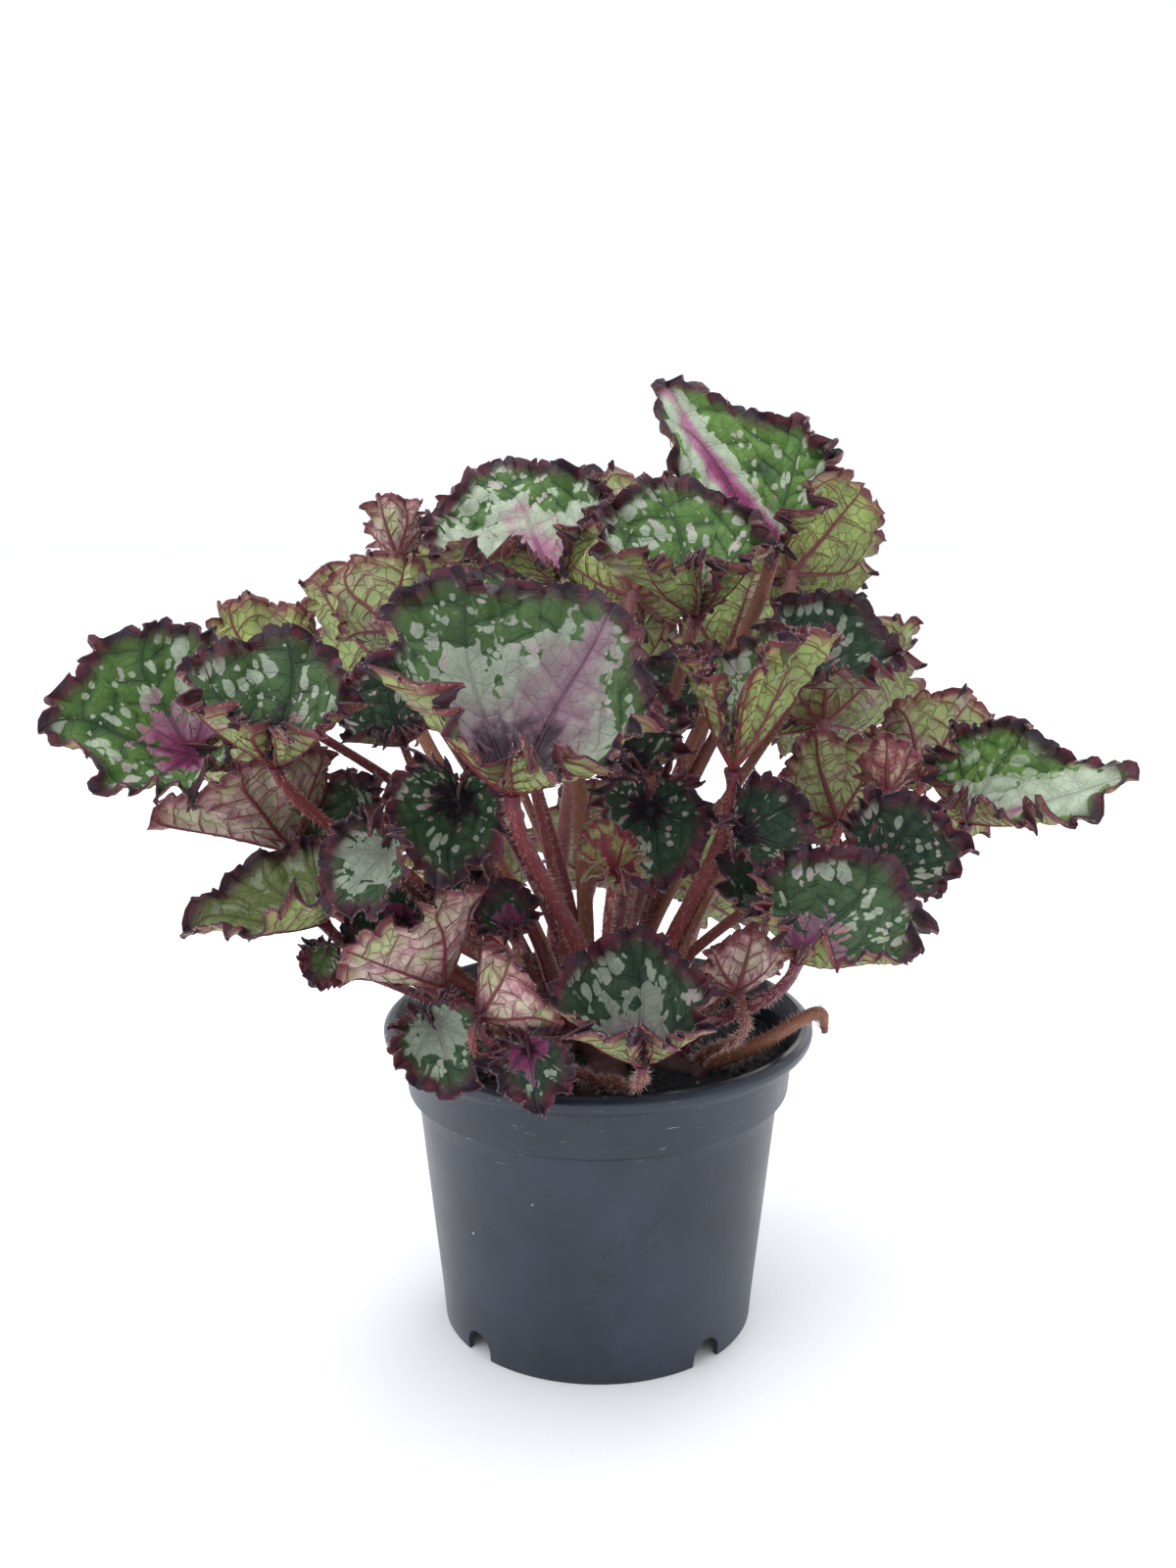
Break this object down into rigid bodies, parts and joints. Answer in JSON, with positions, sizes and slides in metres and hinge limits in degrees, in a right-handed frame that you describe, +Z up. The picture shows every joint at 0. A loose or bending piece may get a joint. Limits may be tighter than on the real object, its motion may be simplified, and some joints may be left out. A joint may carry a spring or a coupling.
{
  "type": "potted rex begonia",
  "caption": "Rex begonia in a dark round nursery pot: ruffled, toothed leaves with silver and pink centres on red stalks that spring from a creeping rhizome in the soil.",
  "frame": {"origin": "middle of the pot's underside, on the surface that it stands on", "axes": "+Z up, -Y towards the front of the plant, which the picture shows, +X to the picture's right"},
  "size_m": [0.3203, 0.2303, 0.3067],
  "materials": {
    "pot_plastic": "satin moulded polypropylene, slate black, with fine scratches and specks of lime",
    "potting_soil": "damp dark peat with pale flecks",
    "leaf_stalk": "soft rust-red stem skin with fine pale hairs",
    "leaf_blade": "puckered satin leaf: green with silver spots above, pink along the veins, lime with a red vein net below"
  },
  "bodies": {
    "root": {"pot": "pot_plastic", "soil": "potting_soil", "rhizome_and_stalks": "leaf_stalk", "leaf_main": "leaf_blade", "leaf_crown_silver": "leaf_blade", "leaf_crown_green": "leaf_blade", "leaf_crown_small": "leaf_blade", "leaf_mid_hanging": "leaf_blade", "leaf_mid_silver": "leaf_blade", "leaf_mid_dark_left": "leaf_blade", "leaf_left_shadow": "leaf_blade", "leaf_mid_hanging_right": "leaf_blade", "leaf_mid_new_red": "leaf_blade", "leaf_mid_shadow": "leaf_blade", "leaf_mid_deep_right": "leaf_blade", "leaf_low_pink_spot": "leaf_blade", "leaf_bottom_center": "leaf_blade", "leaf_low_center_under": "leaf_blade", "leaf_rim_silver": "leaf_blade", "leaf_rim_dark": "leaf_blade", "leaf_left_spotted": "leaf_blade", "leaf_far_left": "leaf_blade", "leaf_left_fan_under": "leaf_blade", "leaf_left_burgundy": "leaf_blade", "leaf_left_curl": "leaf_blade", "leaf_left_back_under": "leaf_blade", "leaf_left_brown_under": "leaf_blade", "leaf_left_yellow": "leaf_blade", "leaf_left_tiny": "leaf_blade", "leaf_low_left_under": "leaf_blade", "leaf_low_left_dark": "leaf_blade", "leaf_low_left_fan": "leaf_blade", "leaf_top_right": "leaf_blade", "leaf_top_right_under": "leaf_blade", "leaf_right_cup": "leaf_blade", "leaf_right_behind_cup": "leaf_blade", "leaf_right_olive_under": "leaf_blade", "leaf_right_new_red": "leaf_blade", "leaf_right_dark_spotted": "leaf_blade", "leaf_far_right": "leaf_blade", "leaf_right_round_tip": "leaf_blade", "leaf_right_dark_inner": "leaf_blade", "leaf_right_pink_heart": "leaf_blade", "leaf_right_lipped": "leaf_blade", "leaf_right_low_under": "leaf_blade", "leaf_back_top": "leaf_blade", "leaf_back_left": "leaf_blade", "leaf_back_right": "leaf_blade", "leaf_back_mid": "leaf_blade", "leaf_back_crown_left": "leaf_blade", "leaf_back_crown_right": "leaf_blade", "leaf_back_low_left": "leaf_blade", "leaf_back_low_right": "leaf_blade", "leaf_back_low_mid": "leaf_blade", "leaf_side_left": "leaf_blade", "leaf_side_right": "leaf_blade"}
  },
  "joints": []
}
